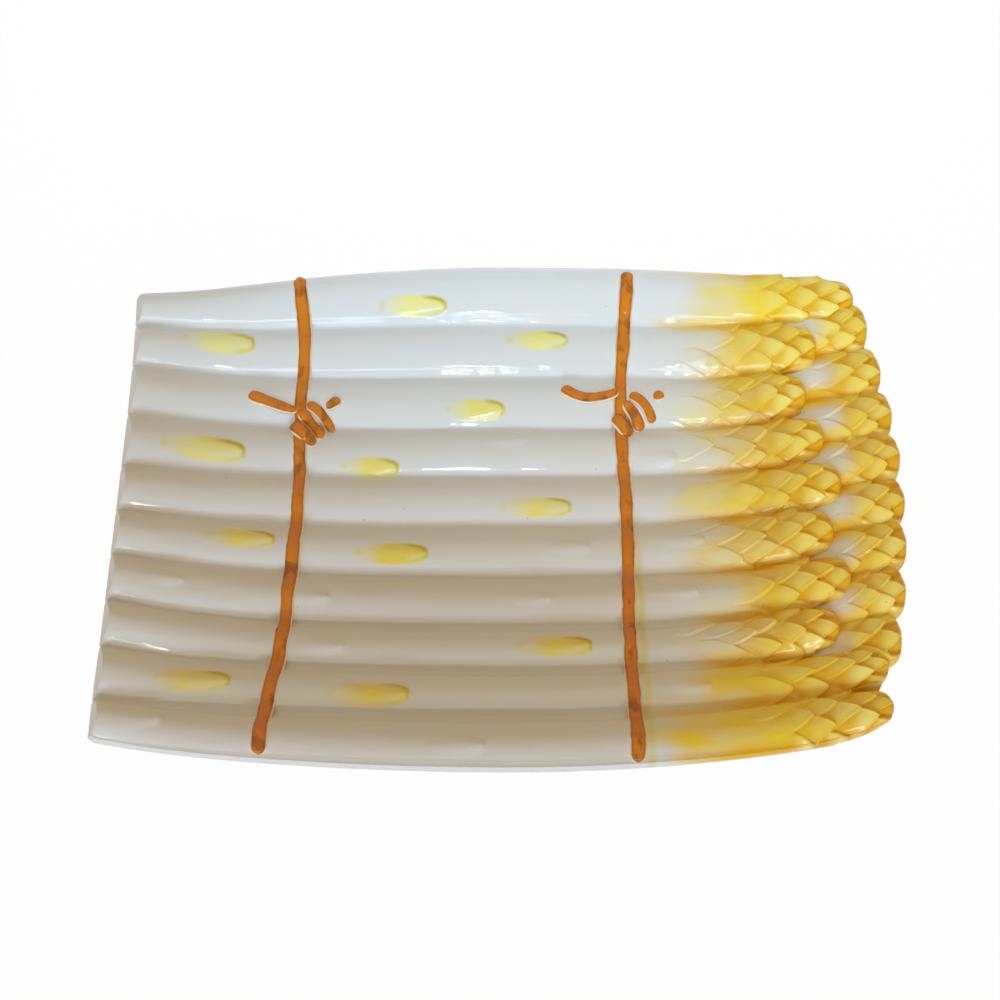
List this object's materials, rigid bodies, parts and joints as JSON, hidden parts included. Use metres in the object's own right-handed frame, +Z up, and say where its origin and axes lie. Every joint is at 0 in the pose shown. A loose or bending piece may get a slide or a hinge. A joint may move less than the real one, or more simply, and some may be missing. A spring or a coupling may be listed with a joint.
{
  "type": "asparagus plate",
  "caption": "Shallow glazed pottery serving plate moulded as a tied bundle of white asparagus spears with yellow tips, on a foot ring.",
  "frame": {"origin": "on the table, under the middle of the plate's outline", "axes": "+X along the spears from the cut ends to the tips, +Y to the far long side, +Z up"},
  "size_m": [0.3438, 0.2402, 0.0407],
  "materials": {
    "white_glaze": "glossy tin-white glaze",
    "tip_glaze": "glossy yellow glaze pooled ochre in the grooves",
    "cord_glaze": "glossy orange-brown glaze",
    "bare_foot": "unglazed pale clay"
  },
  "bodies": {
    "root": {"dish_base": "white_glaze", "foot_ring": "bare_foot", "spear_01": "white_glaze", "spear_02": "white_glaze", "spear_03": "white_glaze", "spear_04": "white_glaze", "spear_05": "white_glaze", "spear_06": "white_glaze", "spear_07": "white_glaze", "spear_08": "white_glaze", "spear_09": "white_glaze", "spear_10": "white_glaze", "rear_tip_01": "tip_glaze", "rear_tip_02": "tip_glaze", "rear_tip_03": "tip_glaze", "rear_tip_04": "tip_glaze", "rear_tip_05": "tip_glaze", "rear_tip_06": "tip_glaze", "rear_tip_07": "tip_glaze", "rear_tip_08": "tip_glaze", "butt_cord": "cord_glaze", "tip_cord": "cord_glaze", "butt_knot_wraps": "cord_glaze", "butt_knot_long_tail": "cord_glaze", "butt_knot_short_tail": "cord_glaze", "tip_knot_wraps": "cord_glaze", "tip_knot_long_tail": "cord_glaze", "tip_knot_short_tail": "cord_glaze"}
  },
  "joints": []
}
